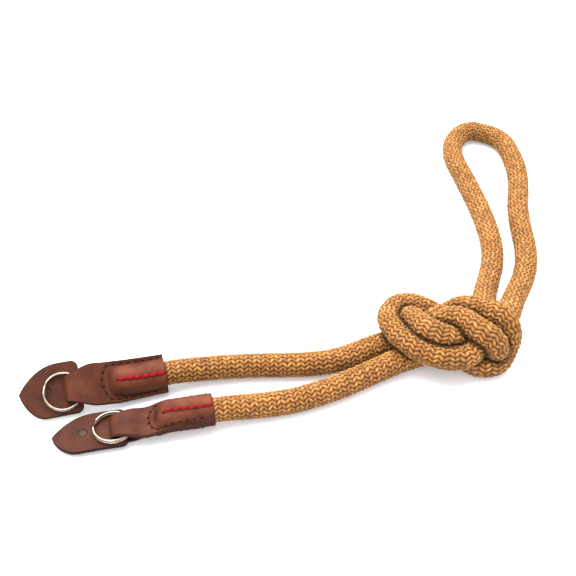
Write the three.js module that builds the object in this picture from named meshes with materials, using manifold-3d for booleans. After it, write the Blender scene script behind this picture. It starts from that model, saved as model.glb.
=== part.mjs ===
// Camera neck strap: a braided rope with a knot tied in the doubled rope, and at each end a sewn
// leather end with a split ring and a leather pad. Millimetres, +Z up, lying on the table z = 0.
import * as THREE from 'three';
import { mergeVertices } from 'three/addons/utils/BufferGeometryUtils.js';
import Module from 'manifold-3d';

// Rope
const ROPE_RADIUS = 5;
const KNOT_ROPE_RADIUS = 4.15;
const TUCKED_ROPE_RADIUS = 4.7;
const ROPE_SIDES = 12;
const ROPE_STEP = 6;
const KNOT_STEP = 3;

// Knot
const KNOT_CENTRE = new THREE.Vector2(66, -56.5);
const KNOT_REACH = 40;
const SETTLE_REACH = 110;
const STRAND_SPACING = 8.6;

// Leather ends, measured along each end from the sleeve's mouth to the fold
const END_LENGTH = 41;
const LEATHER = 1.4;
const FLANGE_HALF = 1.5;
const SLEEVE_RADIUS = 6.5;
const BORE_RADIUS = 5.3;
const BORE_DEPTH = 18.5;
const ROPE_TUCK = 16;
const WIDEST_AT = 28;
const TAB_HALF_WIDTH = 5.4;
const TAB_FROM = 41.5;
const FOLD_ROUNDING = 0.4;
const EYE_FROM = 23.5;
const EYE_FULL_FROM = 34;
const EYE_TO = END_LENGTH - LEATHER;
const EYE_HALF = 2.2;
const TONGUE_HALF_WIDTH = 4.6;
const TONGUE_FROM = 27;
const TONGUE_TO = 38.5;

// Split rings
const RING_RADIUS = 7.5;
const WIRE_RADIUS = 0.5;
const WIRE_PITCH = 1.05;
const RING_LIFT = 0.75;

// Pads
const PAD_FROM = 34.2;
const PAD_THICKNESS = 1.45;
const PAD_LIFT = -1.25;
const PAD_FAR_NOSE = { length: 16.4, power: 0.9 };
const PAD_NEAR_NOSE = { length: 10.2, power: 0.69 };
const PAD_TIP_OFFSET = -0.95;
const PAD_CORNER = 3;
const DIMPLE_RADIUS = 1.8;
const DIMPLE_DEPTH = 0.45;
const SLOT_FROM = 38.3;
const SLOT_TO = 41.05;
const SLOT_HALF_WIDTH = 6;

// Where each end lies: its mouth, heading, and the roll towards the near side and height of its axis
// at the mouth and at the tab. Offsets are to the near side.
const END_A = {
  mouth: new THREE.Vector2(-53.7, -76.4),
  heading: 14.6,
  mouthRoll: 42,
  tabRoll: 32,
  mouthHeight: 7.2,
  tabHeight: 7.8,
  mouthHalfWidth: 8,
  widestHalfWidth: 8.8,
  ringAt: 41.6,
  ringOffset: 0.5,
  padLength: 24.8,
  padHalfWidth: 11,
  padOffset: -1.1,
  padDroop: 2,
  dimpleFromTip: 11,
};
const END_B = {
  mouth: new THREE.Vector2(-33, -96.3),
  heading: 11.2,
  mouthRoll: 6,
  tabRoll: 0,
  mouthHeight: 7.2,
  tabHeight: 3.7,
  mouthHalfWidth: 7,
  widestHalfWidth: 7.6,
  ringAt: 39.8,
  ringOffset: -0.9,
  padLength: 29.6,
  padHalfWidth: 9.6,
  padOffset: -1.7,
  padDroop: 1.5,
  dimpleFromTip: 12.2,
};

// The rope's route, chosen by eye. The leads run from the sleeves to the knot.
const LEAD_A = [[-45.5, -73.9, 6.4], [-32, -71.1, 5.3], [-19.3, -69.6, 5], [1.5, -69.4, 5], [18.2, -67.2, 5]];
const LEAD_B = [[-24.5, -94.4, 6.4], [-15, -92.6, 5.2], [-6.7, -91.4, 5], [9.4, -86, 5], [26.1, -77, 5]];

// Each strand of the doubled rope through the knot, from its lead to the loop, about the knot's centre
const KNOT_A = [
  [-30.4, 0.4, 5], [-22, 2, 5], [-14, 3, 6], [-7, 4, 11], [0, 4.2, 13.5],
  [8, 1.7, 15.5], [15, -1.2, 14.8], [20, -3, 12.5], [22, -5.5, 9], [19, -7, 6.5], [13, -6.5, 5], [6, -4.5, 5],
  [0.5, -1, 5], [-4, 3, 5], [-8.5, 6, 5], [-14, 8, 8], [-18.5, 6, 13.5], [-18.5, 0, 17],
  [-15, -3, 18], [-9.7, -6.5, 17.5], [-3.8, -7.5, 16], [4, -6, 14], [10, -2, 12],
  [13, 5, 11], [15, 14, 8.5], [17, 24, 6.5], [18.2, 32, 5],
];
const KNOT_B = [
  [-21.9, -9.2, 5], [-14, -5, 6], [-9, -2, 11], [-7, -2, 16.5],
  [-3, -3.2, 20.5], [3, -6.2, 20.5], [8.5, -9.5, 19], [12, -11, 15], [12, -7, 9],
  [8, 1, 5], [3, 6, 5], [-2, 10, 5], [-8, 12.5, 6],
  [-13.5, 11.5, 9.5], [-20, 9.5, 12], [-24.5, 3.5, 13.5], [-23.5, -5, 14], [-19.2, -11, 15],
  [-13, -15, 15], [-5.9, -17, 15], [1.7, -15.5, 14.5], [8, -12, 13.5], [14, -6, 12.5],
  [20, 2, 11], [25, 11, 9], [28, 19, 7], [29.3, 25.8, 5],
];

// The loop, from the knot round its far end and back
const LOOP = [
  [91.5, -4.4], [93.3, 14.2], [91.4, 38.1], [87.2, 63.7], [83.8, 86.6], [86.6, 101.1], [94.8, 110],
  [102.7, 108], [110.9, 101.1], [114.8, 81.9], [114.4, 63.7], [109.4, 34], [109, 14.2], [108.5, 2.9],
  [104, -15.1],
];

const wasm = await Module();
wasm.setup();

const { clamp, degToRad, lerp, smoothstep } = THREE.MathUtils;

function material(colour, roughness, metalness) {
  return new THREE.MeshStandardMaterial({ color: colour, roughness, metalness });
}

// A geometry whose corners are shared, so that it is one closed body.
function closed(geometry) {
  geometry.deleteAttribute('normal');
  geometry.deleteAttribute('uv');
  return mergeVertices(geometry, 1e-4);
}

function toSolid(geometry) {
  const merged = closed(geometry);
  return new wasm.Manifold(new wasm.Mesh({
    numProp: 3,
    vertProperties: new Float32Array(merged.attributes.position.array),
    triVerts: new Uint32Array(merged.index.array),
  }));
}

function toGeometry(solid) {
  const mesh = solid.getMesh();
  const geometry = new THREE.BufferGeometry();
  geometry.setAttribute('position', new THREE.BufferAttribute(mesh.vertProperties, 3));
  geometry.setIndex(new THREE.BufferAttribute(mesh.triVerts, 1));
  return geometry;
}

// The geometry with each corner moved to where the given function puts it.
function moved(geometry, place) {
  const position = geometry.attributes.position;
  const corner = new THREE.Vector3();
  for (let i = 0; i < position.count; i += 1) {
    corner.fromBufferAttribute(position, i);
    position.setXYZ(i, ...place(corner).toArray());
  }
  return geometry;
}

// A point of an end: along it from the mouth, across it to the near side, and up from its axis.
function lay(end, along, across, up) {
  const turn = degToRad(end.heading);
  const roll = degToRad(lerp(end.mouthRoll, end.tabRoll, smoothstep(along, 6, 29)));
  const height = lerp(end.mouthHeight, end.tabHeight, smoothstep(along, 17, 30));
  const side = across * Math.cos(roll) + up * Math.sin(roll);
  return new THREE.Vector3(
    end.mouth.x - along * Math.cos(turn) + side * Math.sin(turn),
    end.mouth.y - along * Math.sin(turn) - side * Math.cos(turn),
    height - across * Math.sin(roll) + up * Math.cos(roll),
  );
}

function fromKnot({ x, y }) {
  return Math.hypot(x - KNOT_CENTRE.x, y - KNOT_CENTRE.y);
}

// Pulls the rope's knot snug: each free point is drawn towards its neighbours and its first place,
// and strands nearer than a rope's width push each other apart. No point sinks into the table.
function settle(points, step) {
  const first = points.map((point) => point.clone());
  const free = points.map((point) => fromKnot(point) < SETTLE_REACH);
  const nextStrand = Math.ceil((1.75 * STRAND_SPACING) / step);
  const push = new THREE.Vector3();

  function draw(pull, hold) {
    const before = points.map((point) => point.clone());
    for (let i = 1; i < points.length - 1; i += 1) {
      if (free[i]) {
        const middle = before[i - 1].clone().add(before[i + 1]).multiplyScalar(0.5);
        points[i].lerp(middle, pull).lerp(first[i], hold);
      }
    }
  }

  function separate() {
    for (let i = 0; i < points.length; i += 1) {
      for (let j = i + nextStrand; j < points.length; j += 1) {
        push.subVectors(points[i], points[j]);
        const distance = push.length();
        if (distance < STRAND_SPACING && (free[i] || free[j])) {
          push.multiplyScalar((0.175 * (STRAND_SPACING - distance)) / distance);
          if (free[i]) points[i].add(push);
          if (free[j]) points[j].sub(push);
        }
      }
    }
    for (const point of points) point.z = Math.max(point.z, ROPE_RADIUS);
  }

  function rounds(count, pull, hold) {
    for (let round = 0; round < count; round += 1) {
      draw(pull, hold);
      for (let pass = 0; pass < 4; pass += 1) separate();
    }
  }

  rounds(400, 0.3, 0.05);
  rounds(60, 0.1, 0);
  return points;
}

function ropePoints() {
  const onTable = ([x, y, z]) => new THREE.Vector3(x, y, z ?? ROPE_RADIUS);
  const inKnot = ([x, y, z]) => new THREE.Vector3(x + KNOT_CENTRE.x, y + KNOT_CENTRE.y, z);
  const inSleeve = (end) => [ROPE_TUCK, 11, 5.5, 0].map((along) => lay(end, along, 0, 0));
  const route = [
    ...inSleeve(END_A), ...LEAD_A.map(onTable), ...KNOT_A.map(inKnot),
    ...LOOP.map(onTable),
    ...KNOT_B.map(inKnot).reverse(), ...LEAD_B.map(onTable).reverse(), ...inSleeve(END_B).reverse(),
  ];
  const curve = new THREE.CatmullRomCurve3(route, false, 'centripetal');
  curve.arcLengthDivisions = 2000;
  const step = 2.5;
  return settle(curve.getSpacedPoints(Math.round(curve.getLength() / step)), step);
}

// The rope: a cylinder bent along its route, with closer rings inside the knot, and squeezed thinner
// there and where the sleeves hold it.
function ropeGeometry() {
  const curve = new THREE.CatmullRomCurve3(ropePoints(), false, 'centripetal');
  curve.arcLengthDivisions = 4000;
  const last = Math.round(curve.getLength());
  const frames = curve.computeFrenetFrames(last, false);
  const centres = curve.getSpacedPoints(last);
  const stations = [];
  for (let i = 0; i < last; i += fromKnot(centres[i]) < KNOT_REACH ? KNOT_STEP : ROPE_STEP) stations.push(i);
  stations.push(last);
  const steps = stations.length - 1;
  const tube = closed(new THREE.CylinderGeometry(1, 1, 1, ROPE_SIDES, steps));
  return moved(tube, ({ x, y, z }) => {
    const i = stations[Math.round((0.5 - y) * steps)];
    const squeeze = 1 - smoothstep(fromKnot(centres[i]), 28, KNOT_REACH + 6);
    const tucked = 1 - smoothstep(Math.min(i, last - i), ROPE_TUCK, ROPE_TUCK + 6);
    const radius = lerp(lerp(ROPE_RADIUS, KNOT_ROPE_RADIUS, squeeze), TUCKED_ROPE_RADIUS, tucked);
    return centres[i].clone()
      .addScaledVector(frames.normals[i], x * radius)
      .addScaledVector(frames.binormals[i], z * radius);
  });
}

// Half the leather end's width, along it: slightly wider where the rope ends, then narrowing to the tab.
function endHalfWidth(end, along) {
  const sleeve = lerp(end.mouthHalfWidth, end.widestHalfWidth, smoothstep(along, 0, WIDEST_AT));
  const rounding = FOLD_ROUNDING * smoothstep(along, END_LENGTH - 1.5, END_LENGTH + 1);
  return lerp(sleeve, TAB_HALF_WIDTH, smoothstep(along, WIDEST_AT, TAB_FROM)) - rounding;
}

// How far the outside of the strip stands from its middle as it opens towards the fold.
function openingHalf(along) {
  return lerp(FLANGE_HALF, EYE_HALF + LEATHER, smoothstep(along, EYE_FROM, EYE_FULL_FROM));
}

// Half the leather end's thickness: it swells over the rope, lies flat where it is sewn past the rope's
// end, and opens round the ring and the pad up to the fold.
function endHalfThickness(along, across) {
  const roundness = Math.sqrt(Math.max(0, SLEEVE_RADIUS ** 2 - across ** 2));
  const swell = 1 - smoothstep(along, BORE_DEPTH - 0.5, BORE_DEPTH + 7.5);
  const sleeve = Math.max(FLANGE_HALF, roundness * swell);
  const loop = EYE_HALF + LEATHER;
  const bend = clamp((along - (END_LENGTH - loop)) / loop, 0, 0.97);
  return Math.max(sleeve, openingHalf(along)) * Math.sqrt(1 - bend ** 2);
}

// The bore for the rope, with a rounded end. It has rings along it, so that it bends with the sleeve.
function boreSolid() {
  const rounding = 2;
  const rings = 6;
  const profile = [new THREE.Vector2(0, -1)];
  for (let i = 0; i <= rings; i += 1) {
    profile.push(new THREE.Vector2(BORE_RADIUS, lerp(-1, BORE_DEPTH - rounding, i / rings)));
  }
  for (const angle of [30, 60, 90]) {
    const turn = degToRad(angle);
    const radius = BORE_RADIUS - rounding * (1 - Math.cos(turn));
    profile.push(new THREE.Vector2(radius, BORE_DEPTH - rounding * (1 - Math.sin(turn))));
  }
  profile.push(new THREE.Vector2(0, BORE_DEPTH));
  const bore = new THREE.LatheGeometry(profile, 20);
  return toSolid(bore.rotateZ(-Math.PI / 2));
}

// The eye that the ring and the pad go through, open to both sides.
function eyeSolid() {
  const shape = new THREE.Shape();
  const foldCentre = EYE_TO - EYE_HALF;
  const wedge = [0.2, 0.4, 0.6, 0.8, 1].map((share) => lerp(EYE_FROM, EYE_FULL_FROM, share));
  shape.moveTo(EYE_FROM + 1, 0);
  for (const along of wedge) shape.lineTo(along, LEATHER - openingHalf(along));
  shape.absarc(foldCentre, 0, EYE_HALF, -Math.PI / 2, Math.PI / 2, false);
  for (const along of wedge.reverse()) shape.lineTo(along, openingHalf(along) - LEATHER);
  const depth = 4 * TAB_HALF_WIDTH;
  const eye = new THREE.ExtrudeGeometry(shape, { depth, bevelEnabled: false, curveSegments: 8 });
  return toSolid(eye.translate(0, 0, -depth / 2).rotateX(Math.PI / 2));
}

// What is cut from the underside beside the narrow tongue that comes back from the fold.
function besideTongueSolid(end, side) {
  const width = 2 * end.widestHalfWidth;
  const depth = 2 * (EYE_HALF + LEATHER);
  const cut = new THREE.BoxGeometry(TONGUE_TO - TONGUE_FROM, width, depth);
  const across = side * (TONGUE_HALF_WIDTH + width / 2);
  return toSolid(cut.translate((TONGUE_FROM + TONGUE_TO) / 2, across, -depth / 2));
}

function leatherEndGeometry(end) {
  const block = new THREE.BoxGeometry(1, 1, 1, 28, 12, 1);
  moved(block, ({ x, y, z }) => {
    const along = (x + 0.5) * END_LENGTH;
    const across = 2 * y * endHalfWidth(end, along);
    return new THREE.Vector3(along, across, 2 * z * endHalfThickness(along, across));
  });
  const solid = toSolid(block).subtract(boreSolid()).subtract(eyeSolid())
    .subtract(besideTongueSolid(end, 1)).subtract(besideTongueSolid(end, -1));
  return moved(toGeometry(solid), ({ x, y, z }) => lay(end, x, y, z));
}

// The split ring's wire: two turns side by side, stepping from one to the other over a short stretch.
class SplitRingCurve extends THREE.Curve {
  getPoint(t, target = new THREE.Vector3()) {
    const turns = 2;
    const gap = 0.09;
    const turn = t * (turns - gap);
    const level = smoothstep(turn, 1 - gap, 1) - 0.5;
    const angle = turn * 2 * Math.PI;
    return target.set(RING_RADIUS * Math.cos(angle), RING_RADIUS * Math.sin(angle), level * WIRE_PITCH);
  }
}

function ringGeometry(end) {
  const wire = new THREE.Shape();
  wire.absarc(0, 0, WIRE_RADIUS, 0, 2 * Math.PI, false);
  const ring = closed(new THREE.ExtrudeGeometry(wire, {
    steps: 72,
    curveSegments: 4,
    extrudePath: new SplitRingCurve(),
  }));
  return moved(ring, ({ x, y, z }) => lay(end, end.ringAt + x, end.ringOffset + y, RING_LIFT + z));
}

// How far the pad reaches to one side of its tip's line, along it: rounded back corners, and a nose that
// narrows to a blunt point, sooner on the far side than on the near one.
function padReach(end, along, side) {
  const { length, power } = side > 0 ? PAD_NEAR_NOSE : PAD_FAR_NOSE;
  const tip = PAD_FROM + end.padLength;
  const fromTip = clamp((tip - along) / length, 0.004, 1);
  const nose = (1 - (1 - fromTip) ** 2) ** power;
  const fromBack = clamp((along - PAD_FROM) / PAD_CORNER, 0, 1);
  const corner = PAD_CORNER * (1 - Math.sqrt(1 - (1 - fromBack) ** 2));
  return (end.padHalfWidth - side * PAD_TIP_OFFSET) * nose - corner;
}

function padGeometry(end) {
  const tip = PAD_FROM + end.padLength;
  const block = new THREE.BoxGeometry(1, 1, 1, 22, 6, 1);
  moved(block, ({ x, y, z }) => {
    const along = PAD_FROM + (x + 0.5) * end.padLength;
    const across = PAD_TIP_OFFSET + 2 * y * padReach(end, along, Math.sign(y));
    return new THREE.Vector3(along, across, z * PAD_THICKNESS);
  });
  const dimple = new THREE.CylinderGeometry(DIMPLE_RADIUS, DIMPLE_RADIUS, 2 * DIMPLE_DEPTH, 20);
  dimple.rotateX(Math.PI / 2).translate(tip - end.dimpleFromTip, 0, PAD_THICKNESS / 2);
  const slot = new THREE.BoxGeometry(SLOT_TO - SLOT_FROM, 2 * SLOT_HALF_WIDTH, 4 * PAD_THICKNESS);
  slot.translate((SLOT_FROM + SLOT_TO) / 2, -end.padOffset, 0);
  const solid = toSolid(block).subtract(toSolid(dimple)).subtract(toSolid(slot));
  return moved(toGeometry(solid), ({ x, y, z }) => {
    const droop = end.padDroop * clamp((x - SLOT_TO) / (tip - SLOT_TO), 0, 1) ** 2;
    return lay(end, x, end.padOffset + y, PAD_LIFT + z - droop);
  });
}

function part(name, geometry, look) {
  const mesh = new THREE.Mesh(geometry, look);
  mesh.name = name;
  return mesh;
}

const strap = new THREE.Group();
strap.add(part('rope', ropeGeometry(), material(0xc68a3e, 0.9, 0)));
for (const [letter, end] of [['a', END_A], ['b', END_B]]) {
  strap.add(part(`leather_end_${letter}`, leatherEndGeometry(end), material(0x7a4636, 0.6, 0)));
  strap.add(part(`ring_${letter}`, ringGeometry(end), material(0xc9c2b4, 0.25, 1)));
  strap.add(part(`flap_${letter}`, padGeometry(end), material(0x7a4636, 0.6, 0)));
}

// The origin is under the middle of the strap, on the table.
const box = new THREE.Box3().setFromObject(strap);
const middle = box.getCenter(new THREE.Vector3());
strap.position.set(-middle.x, -middle.y, -box.min.z);

export default strap;
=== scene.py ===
"""Looks of the camera neck strap: braided rope tied in a knot, sewn leather ends, split rings and pads."""

import math

import bmesh
import bpy
import numpy as np
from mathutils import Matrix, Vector


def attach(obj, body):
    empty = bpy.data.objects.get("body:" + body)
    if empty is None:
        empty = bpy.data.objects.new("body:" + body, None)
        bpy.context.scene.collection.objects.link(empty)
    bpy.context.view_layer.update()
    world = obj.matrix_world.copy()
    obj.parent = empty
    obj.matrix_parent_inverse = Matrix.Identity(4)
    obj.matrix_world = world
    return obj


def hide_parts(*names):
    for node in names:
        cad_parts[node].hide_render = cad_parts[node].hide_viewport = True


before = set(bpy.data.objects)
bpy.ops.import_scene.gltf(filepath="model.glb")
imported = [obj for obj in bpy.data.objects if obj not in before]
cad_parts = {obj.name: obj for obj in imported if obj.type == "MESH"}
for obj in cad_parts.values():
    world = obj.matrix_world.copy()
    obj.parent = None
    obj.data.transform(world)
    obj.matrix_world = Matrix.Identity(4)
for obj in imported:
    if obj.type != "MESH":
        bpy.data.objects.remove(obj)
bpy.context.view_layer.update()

MM = 0.001
TINY = 1e-6

# Camera, as the photograph was taken: its place in metres, its pitch in degrees
CAMERA_PLACE = (-0.00758, -0.37527, 0.313)
CAMERA_PITCH = 41
CAMERA_LENS = 65
CAMERA_SENSOR = 36

# Table and light, in metres. The lights point at the origin.
FLOOR_REACH = 4.0
FLOOR_DROP = 0.0004
FLOOR_GLOW = 0.22
SKY_STRENGTH = 1.5
LIGHTS = (
    {"name": "overhead", "place": (-0.2, 0.4, 0.95), "size": 1.6, "power": 30},
    {"name": "front", "place": (-0.3, -0.9, 0.7), "size": 1.0, "power": 2},
)

# Painted shade below: surfaces are painted darker the more they face down. How far up they face,
# from -1 to 1, where they are darkest and lightest
DARKEST_FACING = -0.6
LIGHTEST_FACING = 0.75
UNDERSIDE_SHADE = 0.5

# Rope, in millimetres. It is squeezed in the sleeves and fuller in the knot.
ROPE_RADIUS = 5.35
ROPE_TUCK = 16
TUCK_EASE = 6
TUCKED_ROPE_RADIUS = 5.2
KNOT_ROPE_RADIUS = 5.5
KNOT_CENTRE = np.array([61.9, -56.8])
KNOT_FULL_TO = 28
KNOT_REACH = 46
START_REACH = 1.1 * ROPE_RADIUS
SPAN_STEPS = 24

# Braid, in millimetres: zigzag rows along the rope, where each half zigzag is one stitch. The zigzag and
# its stray are shares of a row's width. Each row is four points wide, the first of them on top, and the
# points stand out by shares of the relief, less where a stitch turns.
BRAID_ROWS = 16
BRAID_STITCH = 1.8
BRAID_SEED = 7
POINTS_PER_ROW = 4
RINGS_PER_STITCH = 3
RING_STEP = BRAID_STITCH / RINGS_PER_STITCH
ZIGZAG = 0.36
ZIGZAG_STRAY = 0.19
RELIEF = 0.65
STITCH_RELIEF = np.array([1.0, 0.66, 0.0, 0.66])
TURN_RELIEF = np.array([0.4, 0.25, 0.0, 0.25])
LOWEST_STITCH = 0.62

# Strands that press on each other in the knot, in millimetres. Only what is at least so far along the
# rope counts as the next strand.
NEXT_STRAND = 15
PRESS_GAP = 0.04
# How far from another strand's surface the painted shade in the knot's crevices reaches
CREVICE_SHADE_REACH = 2.5
PRESS_REACH = 2.2 * KNOT_ROPE_RADIUS + CREVICE_SHADE_REACH

# Leather ends, in millimetres. Places along an end count from the sleeve's mouth to the fold.
END_LENGTH = 41
ROLL_FROM = 6
ROLL_TO = 29
DROP_FROM = 17
DROP_TO = 30
LEATHER = 1.4
FLANGE_HALF = 1.5
SLEEVE_RADIUS = 6.5
SWELL_FROM = 18
SWELL_TO = 26
WIDEST_AT = 28
TAB_HALF_WIDTH = 5.4
TAB_FROM = 41.5
FOLD_ROUNDING = 0.4
FOLD_ROUNDING_FROM = END_LENGTH - 1.5
FOLD_ROUNDING_TO = END_LENGTH + 1
EYE_OPENS_FROM = 23.5
EYE_OPENS_TO = 34
EYE_HALF = 2.2
TONGUE_HALF_WIDTH = 4.6
TONGUE_TAPER_FROM = 21
TONGUE_TAPER_TO = 28
FOLD_RADIUS = EYE_HALF + LEATHER
FOLD_AT = END_LENGTH - FOLD_RADIUS
EDGE_ROUNDING = 0.45
WORN_FROM = 0.15
END_WORN_TO = 0.9

# Where the fold starts to narrow to the tongue, from -1 at its top to 1 at its bottom
FOLD_NARROWS_FROM = -0.4

# Rows and columns of a leather end's mesh, closer together at its edges
MOUTH_STEPS = [0.0, 0.06, 0.16, 0.3, 0.45]
END_STEPS = 118
FOLD_STEPS = 19
END_COLUMNS = 52
END_EDGE_SHARE = 0.07
EDGE_STEPS = np.array([0.0, 0.12, 0.35, 0.7, 1.0])
UV_UNIT = 10

# Split rings. The wire's ends are rounded over a short length.
RING_RADIUS = 7.5
RING_STEPS = 260
WIRE_RADIUS = 0.5
WIRE_SIDES = 14
WIRE_END = 0.35
WIRE_END_LEAST = 0.25
WIRE_PITCH = 1.05
RING_LIFT = 0.75
RING_TURNS = 2
RING_GAP = 0.09

# Pads. The noses run to a tip that lies a little off the middle, to the far side.
PAD_FROM = 34.2
PAD_THICKNESS = 1.45
PAD_LIFT = -1.25
PAD_FAR_NOSE = {"length": 16.4, "power": 0.9}
PAD_NEAR_NOSE = {"length": 10.2, "power": 0.69}
PAD_TIP_OFFSET = -0.95
PAD_TIP_LEAST = 0.004
PAD_CORNER = 3
PAD_WORN_TO = 0.8
PAD_EDGE_STEPS = np.array([0, 0.03, 0.1, 0.22, 0.4])
PAD_SLOT_STEPS = 9
PAD_NOSE_STEPS = 52
PAD_COLUMNS = 40
PAD_EDGE_SHARE = 0.05
DIMPLE_RADIUS = 1.8
DIMPLE_DEPTH = 0.45
SLOT_FROM = 38.3
SLOT_TO = 41.05
SLOT_HALF_WIDTH = 4.9

# Stitches along the edges and round the rope's end, and the groove that they pull into the leather
EDGE_STITCHES_FROM = 2.2
EDGE_INSET = 1.4
EDGE_PITCH = 2.95
EDGE_STITCH_LENGTH = 1.5
EDGE_THREAD_RADIUS = 0.26
EDGE_SUNK = 0.12
HOLE_RADIUS = 0.42
HOLE_HALF_LENGTH = np.array([0.42, 0])
CURVE_FROM = 21.5
CURVE_REACH = 4.2
EDGE_GROOVE = {"depth": 0.2, "spread": 0.5}
LINE_STEPS = 60

# Red stitches, a little aslant. On the underside they are pulled deeper in.
RED_STITCHES = 6
RED_FROM = 2.0
RED_PITCH = 3.15
RED_STITCH_LENGTH = 3.05
RED_SLANT = 0.12
RED_SUNK_BELOW = 0.4
RED_HOLE_RADIUS = 0.6
RED_HOLE_HALF_LENGTH = 0.5
RED_HOLE_SUNK = 0.3
RED_GROOVE = {"depth": 0.3, "spread": 1.2}
RED_GROOVE_FADE = 2

# Mesh of one stitch
BEAD_RINGS = 9
BEAD_SIDES = 10
BEAD_BLUNT = 0.06

# Where each end lies: its mouth, its heading, and the roll towards the near side and the height of its
# axis, at the mouth and at the tab. Offsets are to the near side. A dimple shows its share of raw
# leather; the upper end's small share is painted shade under its ring's wire.
END_A = {
    "mouth": (-53.7, -76.4),
    "heading": 14.6,
    "mouth_roll": 42,
    "tab_roll": 32,
    "mouth_height": 7.2,
    "tab_height": 7.8,
    "mouth_half_width": 8,
    "widest_half_width": 8.8,
    "red_offset": 0,
    "red_radius": 0.92,
    "ring_at": 41.6,
    "ring_offset": 0.5,
    "pad_length": 24.8,
    "pad_half_width": 11,
    "pad_offset": -1.1,
    "pad_droop": 2,
    "dimple_from_tip": 11,
    # A small raw share: painted shade in the dimple under the ring's wire
    "dimple_raw_share": 0.15,
}
END_B = {
    "mouth": (-33, -96.3),
    "heading": 11.2,
    "mouth_roll": 6,
    "tab_roll": 0,
    "mouth_height": 7.2,
    "tab_height": 3.7,
    "mouth_half_width": 7,
    "widest_half_width": 7.6,
    "red_offset": 2.1,
    "red_radius": 0.68,
    "ring_at": 39.8,
    "ring_offset": -0.9,
    "pad_length": 29.6,
    "pad_half_width": 9.6,
    "pad_offset": -1.7,
    "pad_droop": 1.5,
    "dimple_from_tip": 12.2,
    "dimple_raw_share": 1,
}

# From the millimetres above to the middle of the strap, where the frame has its origin
ORIGIN_SHIFT = np.array([-4.098, -0.2743, -0.0004])


def lerp(start, end, amount):
    return start + (end - start) * amount


def smoothstep(value, low, high):
    amount = np.clip((value - low) / (high - low), 0, 1)
    return amount * amount * (3 - 2 * amount)


def unit(vectors):
    return vectors / np.linalg.norm(vectors, axis=-1, keepdims=True)


def linear(red, green, blue):
    """A colour for a shader socket from 8-bit display values."""
    shown = np.array([red, green, blue]) / 255
    light = np.where(shown <= 0.04045, shown / 12.92, ((shown + 0.055) / 1.055) ** 2.4)
    return (*(float(value) for value in light), 1.0)


def lay(end, along, across, up):
    """A point of an end, in metres: along from the mouth, across to the near side, up from its axis."""
    along, across, up = np.broadcast_arrays(along, across, up)
    turn = math.radians(end["heading"])
    roll = np.radians(lerp(end["mouth_roll"], end["tab_roll"], smoothstep(along, ROLL_FROM, ROLL_TO)))
    height = lerp(end["mouth_height"], end["tab_height"], smoothstep(along, DROP_FROM, DROP_TO))
    side = across * np.cos(roll) + up * np.sin(roll)
    x = end["mouth"][0] - along * math.cos(turn) + side * math.sin(turn)
    y = end["mouth"][1] - along * math.sin(turn) - side * math.cos(turn)
    z = height - across * np.sin(roll) + up * np.cos(roll)
    return MM * (np.stack([x, y, z], axis=-1) + ORIGIN_SHIFT)


# Meshes


def corner_points(mesh):
    """The number of the point at each corner of each face."""
    numbers = np.zeros(len(mesh.loops), int)
    mesh.loops.foreach_get("vertex_index", numbers)
    return numbers


def new_piece(name, points, faces, look, body, slot, uv=None, marks=None, crease=50):
    """A mesh piece that rides on a body. uv and marks are values at its points, for its material."""
    mesh = bpy.data.meshes.new(name)
    mesh.from_pydata(np.asarray(points, float).tolist(), [], faces)
    if uv is not None:
        layer = mesh.uv_layers.new(name="surface")
        layer.data.foreach_set("uv", np.asarray(uv, float)[corner_points(mesh)].ravel())
    for key, values in (marks or {}).items():
        mesh.attributes.new(key, "FLOAT", "POINT").data.foreach_set("value", np.asarray(values, float))
    work = bmesh.new()
    work.from_mesh(mesh)
    bmesh.ops.delete(work, geom=[point for point in work.verts if not point.link_faces], context="VERTS")
    bmesh.ops.recalc_face_normals(work, faces=work.faces)
    work.to_mesh(mesh)
    work.free()
    mesh.shade_smooth()
    mesh.set_sharp_from_angle(angle=math.radians(crease))
    mesh.materials.append(look)
    piece = bpy.data.objects.new(name, mesh)
    bpy.context.scene.collection.objects.link(piece)
    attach(piece, body)
    return piece


def slab_faces(keep):
    """Faces of a thick sheet over a grid of cells: top, bottom, and a wall along each open edge."""
    rows, columns = keep.shape[0] + 1, keep.shape[1] + 1
    top = np.arange(rows * columns).reshape(rows, columns)
    bottom = top + rows * columns
    faces = []
    for row, column in np.argwhere(keep):
        for sheet in (top, bottom):
            faces.append((
                sheet[row, column], sheet[row + 1, column],
                sheet[row + 1, column + 1], sheet[row, column + 1],
            ))
    across_edges = np.diff(np.pad(keep, ((1, 1), (0, 0))).astype(int), axis=0) != 0
    for row, column in np.argwhere(across_edges):
        faces.append((
            top[row, column], top[row, column + 1], bottom[row, column + 1], bottom[row, column],
        ))
    along_edges = np.diff(np.pad(keep, ((0, 0), (1, 1))).astype(int), axis=1) != 0
    for row, column in np.argwhere(along_edges):
        faces.append((
            top[row, column], top[row + 1, column], bottom[row + 1, column], bottom[row, column],
        ))
    return [tuple(int(corner) for corner in face) for face in faces]


def tube_faces(rings, sides, first=0):
    """Faces of a closed tube of rings of points, with a flat face on each end."""
    faces = []
    for ring in range(rings - 1):
        for side in range(sides):
            here = first + ring * sides
            following = (side + 1) % sides
            faces.append((here + side, here + following, here + sides + following, here + sides + side))
    faces.append(tuple(range(first, first + sides)))
    faces.append(tuple(range(first + (rings - 1) * sides, first + rings * sides)))
    return faces


def carried_frames(line):
    """Two directions across a line at each of its points, carried along it without twist."""
    tangents = unit(np.gradient(line, axis=0))
    normal = np.cross(tangents[0], (0.0, 0.0, 1.0))
    normals = []
    for tangent in tangents:
        normal = normal - tangent * np.dot(normal, tangent)
        normal = normal / np.linalg.norm(normal)
        normals.append(normal)
    normals = np.array(normals)
    return normals, np.cross(tangents, normals)


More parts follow.
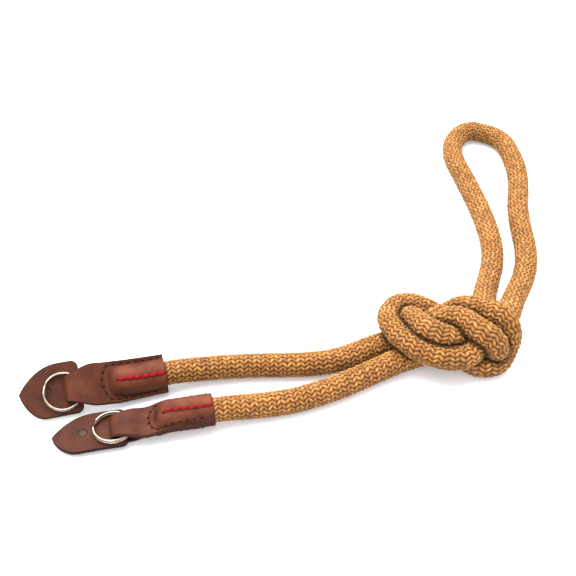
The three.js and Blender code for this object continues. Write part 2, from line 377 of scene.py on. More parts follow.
def tube_points(line, radii, sides):
    normals, binormals = carried_frames(line)
    angles = (np.arange(sides) * 2 * math.pi / sides)[None, :, None]
    offsets = normals[:, None] * np.cos(angles) + binormals[:, None] * np.sin(angles)
    return line[:, None] + offsets * np.asarray(radii)[:, None, None]


# Materials


def new_material(name):
    material = bpy.data.materials.new(name)
    material.use_nodes = True
    tree = material.node_tree
    return material, tree, tree.nodes["Principled BSDF"]


def add_node(tree, kind, inputs, **settings):
    made = tree.nodes.new(kind)
    for setting, value in settings.items():
        setattr(made, setting, value)
    for socket, value in inputs.items():
        if isinstance(value, bpy.types.NodeSocket):
            tree.links.new(value, made.inputs[socket])
        else:
            made.inputs[socket].default_value = value
    return made


def calculate(tree, operation, *values):
    return add_node(tree, "ShaderNodeMath", dict(enumerate(values)), operation=operation).outputs[0]


def ramp(tree, amount, *stops):
    """A colour from an amount. Each stop is its position and its colour."""
    made = add_node(tree, "ShaderNodeValToRGB", {"Fac": amount})
    elements = made.color_ramp.elements
    while len(elements) < len(stops):
        elements.new(1.0)
    for element, (position, colour) in zip(elements, stops):
        element.position = position
        element.color = colour
    return made.outputs["Color"]


def blend_colours(tree, kind, amount, first, second):
    made = add_node(tree, "ShaderNodeMix", {"Factor": amount}, data_type="RGBA", blend_type=kind)
    for socket, value in ((made.inputs[6], first), (made.inputs[7], second)):
        if isinstance(value, bpy.types.NodeSocket):
            tree.links.new(value, socket)
        else:
            socket.default_value = value
    return made.outputs[2]


def noise(tree, vector, scale, detail=2.0):
    inputs = {"Vector": vector, "Scale": scale, "Detail": detail}
    return add_node(tree, "ShaderNodeTexNoise", inputs).outputs["Fac"]


def object_place(tree):
    return add_node(tree, "ShaderNodeTexCoord", {}).outputs["Object"]


def mark(tree, name):
    """A value that a piece carries at its points."""
    return add_node(tree, "ShaderNodeAttribute", {}, attribute_name=name).outputs["Fac"]


def around_zero(tree, amount, size):
    """An amount from 0 to 1 as one of a given size, half of it below zero."""
    return calculate(tree, "MULTIPLY_ADD", amount, size, -size / 2)


def painted_shade_below(tree, colour):
    """The colour, with painted shade where the surface faces down."""
    normal = add_node(tree, "ShaderNodeNewGeometry", {}).outputs["Normal"]
    up = add_node(tree, "ShaderNodeSeparateXYZ", {"Vector": normal}).outputs["Z"]
    inputs = {
        "Value": up, "From Min": DARKEST_FACING, "From Max": LIGHTEST_FACING,
        "To Min": UNDERSIDE_SHADE, "To Max": 1.0,
    }
    return shaded(tree, colour, add_node(tree, "ShaderNodeMapRange", inputs).outputs["Result"])


def shaded(tree, colour, amount):
    grey = add_node(tree, "ShaderNodeCombineColor", {"Red": amount, "Green": amount, "Blue": amount})
    return blend_colours(tree, "MULTIPLY", 1.0, colour, grey.outputs["Color"])


def yarn_shade(tree, weave):
    """How light the yarn is: from stitch to stitch, in patches and in specks, with painted shade in
    crevices.
    """
    from_row = add_node(tree, "ShaderNodeVectorMath", {0: weave, 1: (0.5, 0.0, 0.0)}, operation="ADD")
    stitch_place = add_node(
        tree, "ShaderNodeVectorMath", {0: from_row.outputs["Vector"]}, operation="FLOOR",
    ).outputs["Vector"]
    each = add_node(tree, "ShaderNodeTexWhiteNoise", {"Vector": stitch_place}, noise_dimensions="3D")
    patches = noise(tree, object_place(tree), 90.0)
    speckle = noise(tree, object_place(tree), 900.0, 3.0)
    shade = calculate(tree, "MULTIPLY_ADD", each.outputs["Value"], 0.52, 0.71)
    shade = calculate(tree, "ADD", shade, around_zero(tree, patches, 0.3))
    shade = calculate(tree, "ADD", shade, around_zero(tree, speckle, 0.7))
    # Painted shade in the crevices between the knot's strands
    open_to_light = calculate(tree, "MULTIPLY_ADD", mark(tree, "crevice_shade"), -0.75, 1.0)
    return calculate(tree, "MULTIPLY", shade, open_to_light)


def rope_material():
    """Golden tan yarn: painted highlight on each stitch's top, painted shade between rows and where
    stitches turn.
    """
    material, tree, shader = new_material("rope_braid")
    weave = add_node(tree, "ShaderNodeUVMap", {}, uv_map="surface").outputs["UV"]
    depth = calculate(tree, "POWER", mark(tree, "hollow"), 1.3)
    fibre_place = add_node(
        tree, "ShaderNodeMapping", {"Vector": weave, "Scale": (9.0, 0.9, 1.0)},
    ).outputs["Vector"]
    fibres = noise(tree, fibre_place, 1.6, 3.0)
    depth = calculate(tree, "ADD", depth, around_zero(tree, fibres, 0.5))
    # From a painted highlight on the stitches' tops to painted shade deep in the hollows between them
    yarn = ramp(
        tree, depth,
        (0.0, linear(195, 147, 89)), (0.4, linear(171, 119, 65)),
        (0.75, linear(124, 75, 36)), (1.0, linear(72, 39, 17)),
    )
    tinted = painted_shade_below(tree, shaded(tree, yarn, yarn_shade(tree, weave)))
    tree.links.new(tinted, shader.inputs["Base Color"])
    bump = add_node(tree, "ShaderNodeBump", {"Height": fibres, "Strength": 0.6, "Distance": 0.0003})
    tree.links.new(bump.outputs["Normal"], shader.inputs["Normal"])
    shader.inputs["Roughness"].default_value = 0.82
    shader.inputs["Specular IOR Level"].default_value = 0.15
    shader.inputs["Sheen Weight"].default_value = 0.13
    shader.inputs["Sheen Roughness"].default_value = 0.5
    shader.inputs["Sheen Tint"].default_value = linear(255, 214, 150)
    return material


def leather_material(name, light, dark, edge_colour):
    """Brown leather, grained and clouded: dark edges, raw where punched, a painted highlight on the swell.
    """
    material, tree, shader = new_material(name)
    place = object_place(tree)
    clouds = noise(tree, place, 140.0, 4.0)
    face = ramp(tree, clouds, (0.32, dark), (0.69, light))
    wear = around_zero(tree, noise(tree, place, 700.0), 0.5)
    edge_amount = add_node(
        tree, "ShaderNodeMapRange",
        {"Value": calculate(tree, "ADD", mark(tree, "edge"), wear), "From Min": 0.3, "From Max": 0.85},
    ).outputs["Result"]
    edged = blend_colours(tree, "MIX", edge_amount, face, edge_colour)
    edge_and_dimple = blend_colours(tree, "MIX", mark(tree, "raw"), edged, linear(78, 62, 52))
    # Painted highlight where the leather swells over the rope
    highlight_gain = calculate(tree, "MULTIPLY_ADD", mark(tree, "painted_highlight"), 0.75, 1.0)
    lighter = shaded(tree, edge_and_dimple, highlight_gain)
    tree.links.new(painted_shade_below(tree, lighter), shader.inputs["Base Color"])
    pores = add_node(
        tree, "ShaderNodeTexVoronoi", {"Vector": place, "Scale": 1500.0}, feature="SMOOTH_F1",
    ).outputs["Distance"]
    grain = calculate(tree, "ADD", pores, calculate(tree, "MULTIPLY", noise(tree, place, 500.0, 4.0), 1.2))
    bump = add_node(tree, "ShaderNodeBump", {"Height": grain, "Strength": 0.35, "Distance": 0.0002})
    tree.links.new(bump.outputs["Normal"], shader.inputs["Normal"])
    gloss = calculate(tree, "MULTIPLY_ADD", clouds, 0.2, 0.45)
    tree.links.new(gloss, shader.inputs["Roughness"])
    shader.inputs["Specular IOR Level"].default_value = 0.1
    return material


def metal_material():
    """Nickelled steel wire with faint scratches along it."""
    material, tree, shader = new_material("ring_nickel")
    place = object_place(tree)
    clouds = noise(tree, place, 500.0)
    tone = ramp(tree, clouds, (0.3, linear(150, 139, 126)), (0.7, linear(176, 165, 152)))
    tree.links.new(tone, shader.inputs["Base Color"])
    rough = calculate(tree, "MULTIPLY_ADD", noise(tree, place, 1500.0, 3.0), 0.2, 0.12)
    tree.links.new(rough, shader.inputs["Roughness"])
    shader.inputs["Metallic"].default_value = 1.0
    return material


def thread_material(name, light, dark):
    """Waxed thread with its twist."""
    material, tree, shader = new_material(name)
    place = object_place(tree)
    twist = add_node(
        tree, "ShaderNodeTexWave", {"Vector": place, "Scale": 900.0, "Distortion": 2.0},
        bands_direction="DIAGONAL",
    ).outputs["Fac"]
    tree.links.new(ramp(tree, twist, (0.1, dark), (0.6, light)), shader.inputs["Base Color"])
    bump = add_node(tree, "ShaderNodeBump", {"Height": twist, "Strength": 0.5, "Distance": 0.0002})
    tree.links.new(bump.outputs["Normal"], shader.inputs["Normal"])
    shader.inputs["Roughness"].default_value = 0.5
    shader.inputs["Specular IOR Level"].default_value = 0.15
    return material


def hole_shade_material():
    """Painted shade: the dark inside of a stitch hole."""
    material, tree, shader = new_material("stitch_hole_shade")
    tone = noise(tree, object_place(tree), 2000.0)
    dark = ramp(tree, tone, (0.3, linear(42, 20, 14)), (0.7, linear(54, 27, 19)))
    tree.links.new(dark, shader.inputs["Base Color"])
    shader.inputs["Roughness"].default_value = 0.9
    shader.inputs["Specular IOR Level"].default_value = 0.05
    return material


def floor_material():
    """A white table, lit a little from below."""
    material, tree, shader = new_material("floor")
    tone = noise(tree, object_place(tree), 3.0)
    white = ramp(tree, tone, (0.0, linear(250, 250, 252)), (1.0, linear(252, 252, 253)))
    tree.links.new(white, shader.inputs["Base Color"])
    tree.links.new(white, shader.inputs["Emission Color"])
    shader.inputs["Emission Strength"].default_value = FLOOR_GLOW
    shader.inputs["Roughness"].default_value = 0.9
    return material


# Rope


def rope_rings():
    """The rope's centreline, from the rings of points of its solid, starting inside the upper sleeve."""
    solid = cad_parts["rope"].data
    corners = np.array([corner.co for corner in solid.vertices])
    places, number = np.unique(np.round(corners, 6), axis=0, return_inverse=True)
    number = number.ravel()
    neighbours = [set() for _ in places]
    for edge in solid.edges:
        start, end = (number[corner] for corner in edge.vertices)
        neighbours[start].add(end)
        neighbours[end].add(start)
    from_start = np.linalg.norm(places - lay(END_A, ROPE_TUCK, 0, 0), axis=1)
    ring = set(np.flatnonzero(from_start < START_REACH * MM).tolist())
    seen = set(ring)
    centres = []
    while len(ring) > 1:
        centres.append(places[sorted(ring)].mean(axis=0))
        ring = {near for corner in ring for near in neighbours[corner]} - seen
        seen |= ring
    return np.array(centres)


def smooth_line(points, step):
    """Points a step apart on a smooth curve through the given ones."""
    padded = np.vstack([2 * points[0] - points[1], points, 2 * points[-1] - points[-2]])
    before, start, end, after = padded[:-3], padded[1:-2], padded[2:-1], padded[3:]
    amount = np.linspace(0, 1, SPAN_STEPS, endpoint=False)[:, None, None]
    spans = 0.5 * (
        2 * start + (end - before) * amount + (2 * before - 5 * start + 4 * end - after) * amount**2
        + (3 * start - before - 3 * end + after) * amount**3
    )
    fine = np.vstack([spans.transpose(1, 0, 2).reshape(-1, 3), points[-1:]])
    run = np.concatenate([[0], np.cumsum(np.linalg.norm(np.diff(fine, axis=0), axis=1))])
    stops = np.linspace(0, run[-1], round(run[-1] / step) + 1)
    return np.stack([np.interp(stops, run, fine[:, axis]) for axis in range(3)], axis=1)


def braid_relief(rings, columns, draws):
    """How far each point of the rope's surface stands out: 0 between the stitches, 1 on top of them."""
    ring = np.arange(rings)
    place = np.arange(columns) % POINTS_PER_ROW
    relief = np.tile(STITCH_RELIEF[place], (rings, 1))
    relief[ring % RINGS_PER_STITCH == 0] = TURN_RELIEF[place]
    each = draws.uniform(LOWEST_STITCH, 1.0, (rings // RINGS_PER_STITCH + 1, BRAID_ROWS))
    row = ((np.arange(columns) + 1) // POINTS_PER_ROW) % BRAID_ROWS
    return relief * each[ring // RINGS_PER_STITCH][:, row]


def braid_rows(rings, columns, draws):
    """In which row of the braid each point lies: the rows zigzag along the rope, a little unevenly."""
    stitch = np.arange(rings) / RINGS_PER_STITCH
    column = np.arange(columns)
    zigzag = np.abs((stitch + 1) % 2 - 1) * 2 - 1
    strays = draws.uniform(-ZIGZAG_STRAY, ZIGZAG_STRAY, (int(stitch[-1]) + 2, BRAID_ROWS + 1))
    strays[:, -1] = strays[:, 0]
    start = column // POINTS_PER_ROW
    share = (column % POINTS_PER_ROW) / POINTS_PER_ROW
    across = lerp(strays[:, start], strays[:, start + 1], share[None, :])
    before = stitch.astype(int)
    stray = lerp(across[before], across[before + 1], (stitch - before)[:, None])
    return column[None, :] / POINTS_PER_ROW + ZIGZAG * zigzag[:, None] + stray


def press_strands(line, offsets):
    """Flattens strands of the knot where they lie against each other: none reaches past the middle.

    Also gives how deep each point lies in a crevice between strands, from 0 to 1, for the painted shade in
    the crevices.
    """
    far_along = round(NEXT_STRAND / RING_STEP)
    crevice_shade = np.zeros(offsets.shape[:2])
    for ring, centre in enumerate(line):
        others = np.concatenate([line[: max(0, ring - far_along)], line[ring + far_along:]])
        towards = others - centre
        distance = np.linalg.norm(towards, axis=1)
        near = distance < PRESS_REACH * MM
        if near.any():
            directions = towards[near] / distance[near, None]
            reached = offsets[ring] @ directions.T
            room = 0.5 * distance[near] - PRESS_GAP * MM
            scale = np.where(reached > room, room / np.maximum(reached, TINY * MM), 1.0)
            offsets[ring] *= scale.min(axis=1)[:, None]
            # How near each point lies to another strand's surface, for the painted crevice shade
            apart = np.linalg.norm(offsets[ring][:, None] - towards[near][None], axis=2).min(axis=1)
            gap = apart - KNOT_ROPE_RADIUS * MM
            crevice_shade[ring] = 1 - smoothstep(gap, 0, CREVICE_SHADE_REACH * MM)
    return offsets, crevice_shade


def rope_fullness(line):
    """How thick the rope is at each ring, as a share: squeezed in the sleeves, fuller in the knot."""
    from_knot = np.linalg.norm(line[:, :2] / MM - KNOT_CENTRE, axis=1)
    fuller = lerp(KNOT_ROPE_RADIUS / ROPE_RADIUS, 1.0, smoothstep(from_knot, KNOT_FULL_TO, KNOT_REACH))
    ring = np.arange(len(line))
    from_ends = np.minimum(ring, ring[::-1]) * RING_STEP
    untucked = smoothstep(from_ends, ROPE_TUCK, ROPE_TUCK + TUCK_EASE)
    return fuller * lerp(TUCKED_ROPE_RADIUS / ROPE_RADIUS, 1.0, untucked)


def make_rope(look):
    line = smooth_line(rope_rings(), MM * RING_STEP)
    rings = len(line)
    columns = BRAID_ROWS * POINTS_PER_ROW
    normals, binormals = carried_frames(line)
    draws = np.random.RandomState(BRAID_SEED)
    angles = braid_rows(rings, columns, draws) * 2 * math.pi / BRAID_ROWS
    relief = braid_relief(rings, columns, draws)
    radii = MM * (ROPE_RADIUS - RELIEF * (1 - relief)) * rope_fullness(line)[:, None]
    offsets = normals[:, None] * np.cos(angles)[..., None] + binormals[:, None] * np.sin(angles)[..., None]
    offsets, crevice_shade = press_strands(line, offsets * radii[..., None])
    points = line[:, None] + offsets
    points[..., 2] = np.maximum(points[..., 2], 0)
    rope = new_piece(
        "braided_rope", points.reshape(-1, 3), tube_faces(rings, columns), look, "strap", "rope",
        marks={"hollow": 1 - relief.ravel(), "crevice_shade": crevice_shade.ravel()}, crease=180,
    )
    weave_uv(rope.data, rings, columns)
    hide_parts("rope")
    lay(END_A, 0, 0, 0)


def weave_uv(mesh, rings, columns):
    """Rows across and stitches along, as the rope's own surface coordinates."""
    layer = mesh.uv_layers.new(name="surface")
    numbers = corner_points(mesh)
    row = (numbers % columns) / POINTS_PER_ROW
    stitch = (numbers // columns) / RINGS_PER_STITCH
    starts = np.zeros(len(mesh.polygons), int)
    totals = np.zeros(len(mesh.polygons), int)
    mesh.polygons.foreach_get("loop_start", starts)
    mesh.polygons.foreach_get("loop_total", totals)
    quads = starts[totals == 4][:, None] + np.arange(4)
    quad_rows = row[quads]
    wrapped = quad_rows.max(axis=1) - quad_rows.min(axis=1) > BRAID_ROWS / 2
    behind = wrapped[:, None] & (quad_rows < BRAID_ROWS / 2)
    row[quads] = quad_rows + BRAID_ROWS * behind
    layer.data.foreach_set("uv", np.stack([row, stitch], axis=1).ravel())


# Leather ends


def end_half_width(end, along):
    sleeve = lerp(end["mouth_half_width"], end["widest_half_width"], smoothstep(along, 0, WIDEST_AT))
    rounding = FOLD_ROUNDING * smoothstep(along, FOLD_ROUNDING_FROM, FOLD_ROUNDING_TO)
    return lerp(sleeve, TAB_HALF_WIDTH, smoothstep(along, WIDEST_AT, TAB_FROM)) - rounding


def end_height(along, across):
    """How far the outside of a leather end stands from its middle: over the rope, flat, round the eye."""
    roundness = np.sqrt(np.maximum(0, SLEEVE_RADIUS**2 - across**2))
    swell = 1 - smoothstep(along, SWELL_FROM, SWELL_TO)
    opening = lerp(FLANGE_HALF, FOLD_RADIUS, smoothstep(along, EYE_OPENS_FROM, EYE_OPENS_TO))
    return np.maximum(np.maximum(FLANGE_HALF, roundness * swell), opening)


def rounded_drop(inset):
    """How far a rounded edge falls away, at a distance in from the edge."""
    short = np.clip(EDGE_ROUNDING - inset, 0, EDGE_ROUNDING)
    return EDGE_ROUNDING - np.sqrt(EDGE_ROUNDING**2 - short**2)


def stitch_line(end):
    """The line that the edge stitches follow: along one edge, round the rope's end, and back."""
    run = np.linspace(EDGE_STITCHES_FROM, CURVE_FROM, LINE_STEPS)
    side = end_half_width(end, run) - EDGE_INSET
    bend = np.radians(np.linspace(-90, 90, LINE_STEPS))
    curve_side = end_half_width(end, CURVE_FROM) - EDGE_INSET
    curve = np.stack([CURVE_FROM + CURVE_REACH * np.cos(bend), curve_side * np.sin(bend)], axis=1)
    far = np.stack([run, -side], axis=1)
    near = np.stack([run, side], axis=1)[::-1]
    return np.vstack([far, curve[1:-1], near])


def stitch_groove(end, along, across):
    """How deep the leather is pulled in along the edge stitches and the red ones."""
    line = stitch_line(end)
    squares = (along[..., None] - line[:, 0]) ** 2 + (across[..., None] - line[:, 1]) ** 2
    edge = EDGE_GROOVE["depth"] * np.exp(-squares.min(axis=-1) / EDGE_GROOVE["spread"])
    red_end = RED_FROM + RED_STITCHES * RED_PITCH
    from_red = across - end["red_offset"]
    red = RED_GROOVE["depth"] * np.exp(-(from_red**2) / RED_GROOVE["spread"])
    return edge + red * (1 - smoothstep(along, red_end - RED_GROOVE_FADE, red_end))


def edge_spread(count, inset):
    """Places from -1 to 1 with extra ones close to both ends, for rounded edges."""
    close = 1 - inset * EDGE_STEPS
    return np.concatenate([-close, np.linspace(-close[-1], close[-1], count)[1:-1], close[::-1]])


def end_layer(end, steps, spread, side):
    """The upper or lower layer of a leather end: outside, lining, how worn it is, and its painted
    highlight.
    """
    along = np.broadcast_to(steps[:, None], (len(steps), len(spread)))
    half = end_half_width(end, along)
    if side == -1:
        half = lerp(half, TONGUE_HALF_WIDTH, smoothstep(along, TONGUE_TAPER_FROM, TONGUE_TAPER_TO))
    across = half * spread[None, :]
    inset = np.minimum(half - np.abs(across), along)
    height = end_height(along, across)
    outer = height - rounded_drop(inset) - stitch_groove(end, along, across)
    outside = np.stack([along, across, side * outer], axis=-1)
    lining = np.stack([along, across, side * (height - LEATHER)], axis=-1)
    worn = 1 - smoothstep(inset, WORN_FROM, END_WORN_TO)
    # Painted highlight on the swell over the rope, strongest along its middle
    painted_highlight = smoothstep(height, FLANGE_HALF, SLEEVE_RADIUS) * (along < SWELL_TO)
    return outside, lining, worn, painted_highlight


def end_fold(end, spread):
    """The fold round the ring, from the upper layer to the tongue, in the same four parts as a layer."""
    bends = np.radians(np.linspace(90, -90, FOLD_STEPS))[1:-1]
    along = FOLD_AT + FOLD_RADIUS * np.cos(bends)[:, None]
    towards_tongue = smoothstep(-np.sin(bends), FOLD_NARROWS_FROM, 1)[:, None]
    half = lerp(end_half_width(end, along), TONGUE_HALF_WIDTH, towards_tongue)
    across = half * spread[None, :]
    inset = half - np.abs(across)
    radius = FOLD_RADIUS - rounded_drop(inset)
    outside = fold_points(bends, across, radius)
    lining = fold_points(bends, across, np.full_like(radius, EYE_HALF))
    worn = 1 - smoothstep(inset, WORN_FROM, END_WORN_TO)
    return outside, lining, worn, np.zeros(inset.shape)


def fold_points(bends, across, radius):
    along = FOLD_AT + radius * np.cos(bends)[:, None]
    return np.stack([along, across, radius * np.sin(bends)[:, None]], axis=-1)


def make_leather_end(letter, end, look):
    steps = np.concatenate([MOUTH_STEPS, np.linspace(MOUTH_STEPS[-1], FOLD_AT, END_STEPS)[1:]])
    spread = edge_spread(END_COLUMNS, END_EDGE_SHARE)
    upper = end_layer(end, steps, spread, 1)
    lower = [part[::-1] for part in end_layer(end, steps, spread, -1)]
    strip = zip(upper, end_fold(end, spread), lower)
    outside, lining, worn, painted_highlight = (np.concatenate(parts) for parts in strip)
    points = np.concatenate([outside.reshape(-1, 3), lining.reshape(-1, 3)])
    keep = np.ones((len(outside) - 1, len(spread) - 1), bool)
    piece = new_piece(
        f"sewn_end_{letter}", lay(end, *points.T), slab_faces(keep), look, "strap", "leather",
        uv=points[:, :2] / UV_UNIT,
        marks={"edge": np.tile(worn.ravel(), 2), "painted_highlight": np.tile(painted_highlight.ravel(), 2)},
    )
    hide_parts(f"leather_end_{letter}")


# Stitches


def even_stops(line, pitch):
    """Points a pitch apart along a line of flat points."""
    run = np.concatenate([[0], np.cumsum(np.linalg.norm(np.diff(line, axis=0), axis=1))])
    stops = np.arange(0, run[-1], run[-1] / round(run[-1] / pitch))
    return np.stack([np.interp(stops, run, line[:, axis]) for axis in range(2)], axis=1)


def bead(end, start, finish, radius, side, sunk):
    """One stitch: a thick short thread between two flat points, on the upper or lower side of an end."""
    amount = np.linspace(0, 1, BEAD_RINGS)
    flat = lerp(np.asarray(start)[None, :], np.asarray(finish)[None, :], amount[:, None])
    bulge = np.sqrt(np.maximum(BEAD_BLUNT, 1 - (2 * amount - 1) ** 4))
    up = end_height(flat[:, 0], flat[:, 1]) + radius * (bulge - 1) - sunk
    line = lay(end, flat[:, 0], flat[:, 1], side * up)
    return tube_points(line, MM * radius * bulge, BEAD_SIDES)


def joined_tubes(tubes):
    points = []
    faces = []
    for tube in tubes:
        rings, sides = tube.shape[:2]
        faces += tube_faces(rings, sides, sum(len(part) for part in points))
        points.append(tube.reshape(-1, 3))
    return np.concatenate(points), faces


def make_edge_stitches(letter, end, thread, hole):
    stops = even_stops(stitch_line(end), EDGE_PITCH)
    stitches = []
    holes = []
    for side in (1, -1):
        for start, finish in zip(stops[:-1], stops[1:]):
            middle = (start + finish) / 2
            reach = 0.5 * EDGE_STITCH_LENGTH * (finish - start) / np.linalg.norm(finish - start)
            stitches.append(bead(end, middle - reach, middle + reach, EDGE_THREAD_RADIUS, side, EDGE_SUNK))
        for stop in stops:
            back = stop - HOLE_HALF_LENGTH
            front = stop + HOLE_HALF_LENGTH
            # A dark bead in each hole: painted shade inside the stitch hole
            holes.append(bead(end, back, front, HOLE_RADIUS, side, EDGE_SUNK))
    new_piece(f"edge_stitches_{letter}", *joined_tubes(stitches), thread, "strap", "leather")
    new_piece(f"stitch_holes_{letter}", *joined_tubes(holes), hole, "strap", "leather")


def make_red_stitches(letter, end, thread, hole):
    stitches = []
    holes = []
    offset = end["red_offset"]
    for side in (1, -1):
        sunk = 0 if side == 1 else RED_SUNK_BELOW
        for number in range(RED_STITCHES):
            middle = RED_FROM + number * RED_PITCH
            start = (middle - RED_STITCH_LENGTH / 2, offset - RED_SLANT)
            finish = (middle + RED_STITCH_LENGTH / 2, offset + RED_SLANT)
            stitches.append(bead(end, start, finish, end["red_radius"], side, sunk))
            gap = middle + RED_PITCH / 2
            back = (gap - RED_HOLE_HALF_LENGTH, offset)
            front = (gap + RED_HOLE_HALF_LENGTH, offset)
            # A dark bead in each hole: painted shade inside the stitch hole
            holes.append(bead(end, back, front, RED_HOLE_RADIUS, side, sunk + RED_HOLE_SUNK))
    new_piece(f"red_stitches_{letter}", *joined_tubes(stitches), thread, "strap", "leather")
    new_piece(f"red_holes_{letter}", *joined_tubes(holes), hole, "strap", "leather")


# Split rings


def make_ring(letter, end, look):
    turn = np.linspace(0, RING_TURNS - RING_GAP, RING_STEPS)
    level = smoothstep(turn, 1 - RING_GAP, 1) - 0.5
    angle = turn * 2 * math.pi
    line = np.stack([
        RING_RADIUS * np.cos(angle), RING_RADIUS * np.sin(angle), level * WIRE_PITCH,
    ], axis=1)
    from_end = np.minimum(turn, turn[-1] - turn) * 2 * math.pi * RING_RADIUS
    radii = WIRE_RADIUS * np.sqrt(np.clip(from_end / WIRE_END, WIRE_END_LEAST, 1))
    wire = tube_points(line, radii, WIRE_SIDES).reshape(-1, 3)
    points = lay(end, end["ring_at"] + wire[:, 0], end["ring_offset"] + wire[:, 1], RING_LIFT + wire[:, 2])
    faces = tube_faces(RING_STEPS, WIRE_SIDES)
    piece = new_piece(f"split_ring_{letter}", points, faces, look, f"ring_{letter}", "ring_metal")
    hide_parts(f"ring_{letter}")


# Pads


def pad_reach(end, along, side, nose):
    """How far a pad reaches to one side of the line through its tip."""
    tip = PAD_FROM + end["pad_length"]
    from_tip = np.clip((tip - along) / nose["length"], PAD_TIP_LEAST, 1)
    narrowing = (1 - (1 - from_tip) ** 2) ** nose["power"]
    from_back = np.clip((along - PAD_FROM) / PAD_CORNER, 0, 1)
    corner = PAD_CORNER * (1 - np.sqrt(1 - (1 - from_back) ** 2))
    return (end["pad_half_width"] - side * PAD_TIP_OFFSET) * narrowing - corner


def pad_steps(tip):
    """Steps along a pad, close together at both ends, with one on each edge of the slot."""
    back = PAD_FROM + PAD_EDGE_STEPS
    nose = tip - PAD_EDGE_STEPS[::-1]
    return np.concatenate([
        back,
        np.linspace(back[-1], SLOT_FROM, PAD_SLOT_STEPS)[1:],
        np.linspace(SLOT_FROM, SLOT_TO, PAD_SLOT_STEPS)[1:],
        np.linspace(SLOT_TO, nose[0], PAD_NOSE_STEPS)[1:],
        nose[1:],
    ])


def pad_spread(end):
    """Places across a pad from -1 to 1, with one on each end of the slot."""
    spread = edge_spread(PAD_COLUMNS, PAD_EDGE_SHARE)
    for side in (-1, 1):
        from_tip_line = side * SLOT_HALF_WIDTH - end["pad_offset"] - PAD_TIP_OFFSET
        slot_end = from_tip_line / (end["pad_half_width"] - side * PAD_TIP_OFFSET)
        spread[np.abs(spread - slot_end).argmin()] = slot_end
    return spread


def pad_grid(end, tip):
    """A pad's flat points along and across it, and how far each lies from the pad's edge."""
    steps = pad_steps(tip)
    spread = pad_spread(end)
    along = np.broadcast_to(steps[:, None], (len(steps), len(spread)))
    near = pad_reach(end, along, 1, PAD_NEAR_NOSE)
    far = pad_reach(end, along, -1, PAD_FAR_NOSE)
    reach = np.where(spread[None, :] > 0, near, far)
    across = PAD_TIP_OFFSET + reach * spread[None, :]
    ends_inset = np.minimum(along - PAD_FROM, tip - along)
    inset = np.minimum(reach * (1 - np.abs(spread[None, :])), ends_inset)
    return along, across, inset


def cell_middles(grid):
    return (grid[:-1, :-1] + grid[1:, 1:]) / 2


def punch_dimple(along, across, dimple_at):
    """Draws the points round a pad's dimple onto its rim, and tells which are sunk and on the rim."""
    from_dimple = np.hypot(cell_middles(along) - dimple_at, cell_middles(across))
    in_dimple = np.pad(from_dimple < DIMPLE_RADIUS, 1)
    cells_round = (in_dimple[:-1, :-1], in_dimple[1:, :-1], in_dimple[:-1, 1:], in_dimple[1:, 1:])
    sunk = np.logical_and.reduce(cells_round)
    rim = np.logical_or.reduce(cells_round) & ~sunk
    distance = np.hypot(along - dimple_at, across)
    pull = np.where(rim, DIMPLE_RADIUS / np.maximum(distance, TINY), 1.0)
    return dimple_at + (along - dimple_at) * pull, across * pull, sunk, rim


def make_pad(letter, end, look):
    tip = PAD_FROM + end["pad_length"]
    along, across, inset = pad_grid(end, tip)
    in_slot = (
        (cell_middles(along) > SLOT_FROM) & (cell_middles(along) < SLOT_TO)
        & (np.abs(cell_middles(across) + end["pad_offset"]) < SLOT_HALF_WIDTH)
    )
    along, across, sunk, rim = punch_dimple(along, across, tip - end["dimple_from_tip"])
    droop = end["pad_droop"] * np.clip((along - SLOT_TO) / (tip - SLOT_TO), 0, 1) ** 2
    half_thickness = PAD_THICKNESS / 2 - rounded_drop(inset)
    top = PAD_LIFT - droop + half_thickness - DIMPLE_DEPTH * sunk
    bottom = PAD_LIFT - droop - half_thickness
    sheets = [np.stack([along, across, up], axis=-1) for up in (top, bottom)]
    points = np.concatenate([sheet.reshape(-1, 3) for sheet in sheets])
    worn = (1 - smoothstep(inset, WORN_FROM, PAD_WORN_TO)).ravel()
    # The dimple's rim takes the dark edge colour: painted shade round the recess
    edge_and_dimple = np.maximum(worn, rim.ravel())
    raw = np.concatenate([end["dimple_raw_share"] * sunk.ravel(), np.zeros(sunk.size)])
    piece = new_piece(
        f"leather_pad_{letter}", lay(end, points[:, 0], end["pad_offset"] + points[:, 1], points[:, 2]),
        slab_faces(~in_slot), look, "strap", "pad_leather",
        uv=points[:, :2] / UV_UNIT, marks={"edge": np.concatenate([edge_and_dimple, worn]), "raw": raw},
    )
    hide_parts(f"flap_{letter}")


# Stage


def make_floor():
    mesh = bpy.data.meshes.new("floor")
    sides = ((-1, -1), (1, -1), (1, 1), (-1, 1))
    corners = [(FLOOR_REACH * x, FLOOR_REACH * y, 0) for x, y in sides]
    mesh.from_pydata(corners, [], [(0, 1, 2, 3)])
    mesh.materials.append(floor_material())
    floor = bpy.data.objects.new("floor", mesh)
    floor.location.z = -FLOOR_DROP
    bpy.context.scene.collection.objects.link(floor)


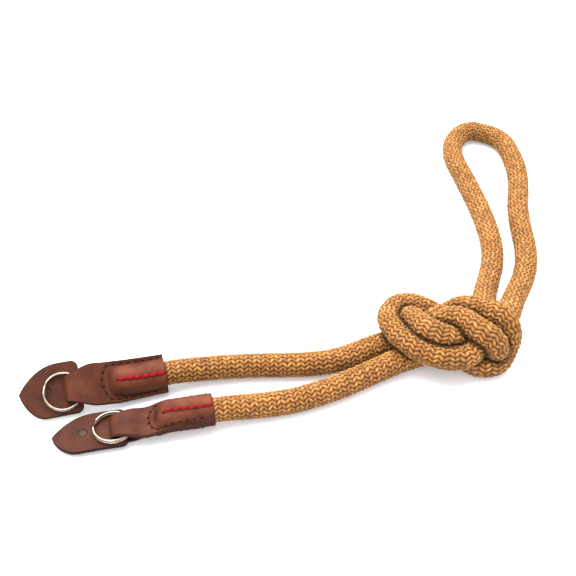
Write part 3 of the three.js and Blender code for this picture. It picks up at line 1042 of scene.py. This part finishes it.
def make_light(name, place, size, power):
    light = bpy.data.lights.new(name, "AREA")
    light.size = size
    light.energy = power
    lamp = bpy.data.objects.new(name, light)
    lamp.location = place
    lamp.rotation_euler = (-Vector(place)).to_track_quat("-Z", "Y").to_euler()
    bpy.context.scene.collection.objects.link(lamp)


def make_camera():
    lens = bpy.data.cameras.new("camera")
    lens.lens = CAMERA_LENS
    lens.sensor_width = CAMERA_SENSOR
    camera = bpy.data.objects.new("camera", lens)
    camera.location = CAMERA_PLACE
    camera.rotation_euler = (math.radians(90 - CAMERA_PITCH), 0, 0)
    bpy.context.scene.collection.objects.link(camera)
    bpy.context.scene.camera = camera


def make_world():
    """Soft white light from above, greyer towards the horizon."""
    world = bpy.data.worlds.new("studio")
    world.use_nodes = True
    tree = world.node_tree
    direction = add_node(tree, "ShaderNodeTexCoord", {}).outputs["Generated"]
    height = add_node(tree, "ShaderNodeSeparateXYZ", {"Vector": direction}).outputs["Z"]
    sky = ramp(
        tree, height,
        (0.0, linear(150, 147, 146)), (0.3, linear(204, 203, 204)), (0.8, linear(252, 252, 254)),
    )
    tree.links.new(sky, tree.nodes["Background"].inputs["Color"])
    tree.nodes["Background"].inputs["Strength"].default_value = SKY_STRENGTH
    bpy.context.scene.world = world
    bpy.context.scene.view_settings.view_transform = "Standard"


def main():
    make_camera()
    make_world()
    make_floor()
    for light in LIGHTS:
        make_light(**light)
    leather = leather_material("leather", linear(93, 49, 33), linear(68, 33, 22), linear(64, 32, 22))
    pad_leather = leather_material(
        "pad_leather", linear(85, 46, 31), linear(61, 31, 21), linear(40, 19, 13),
    )
    metal = metal_material()
    red_thread = thread_material("red_thread", linear(150, 9, 17), linear(104, 4, 10))
    brown_thread = thread_material("brown_thread", linear(74, 40, 28), linear(54, 28, 20))
    hole = hole_shade_material()
    make_rope(rope_material())
    for letter, end in (("a", END_A), ("b", END_B)):
        make_leather_end(letter, end, leather)
        make_edge_stitches(letter, end, brown_thread, hole)
        make_red_stitches(letter, end, red_thread, hole)
        make_ring(letter, end, metal)
        make_pad(letter, end, pad_leather)


main()
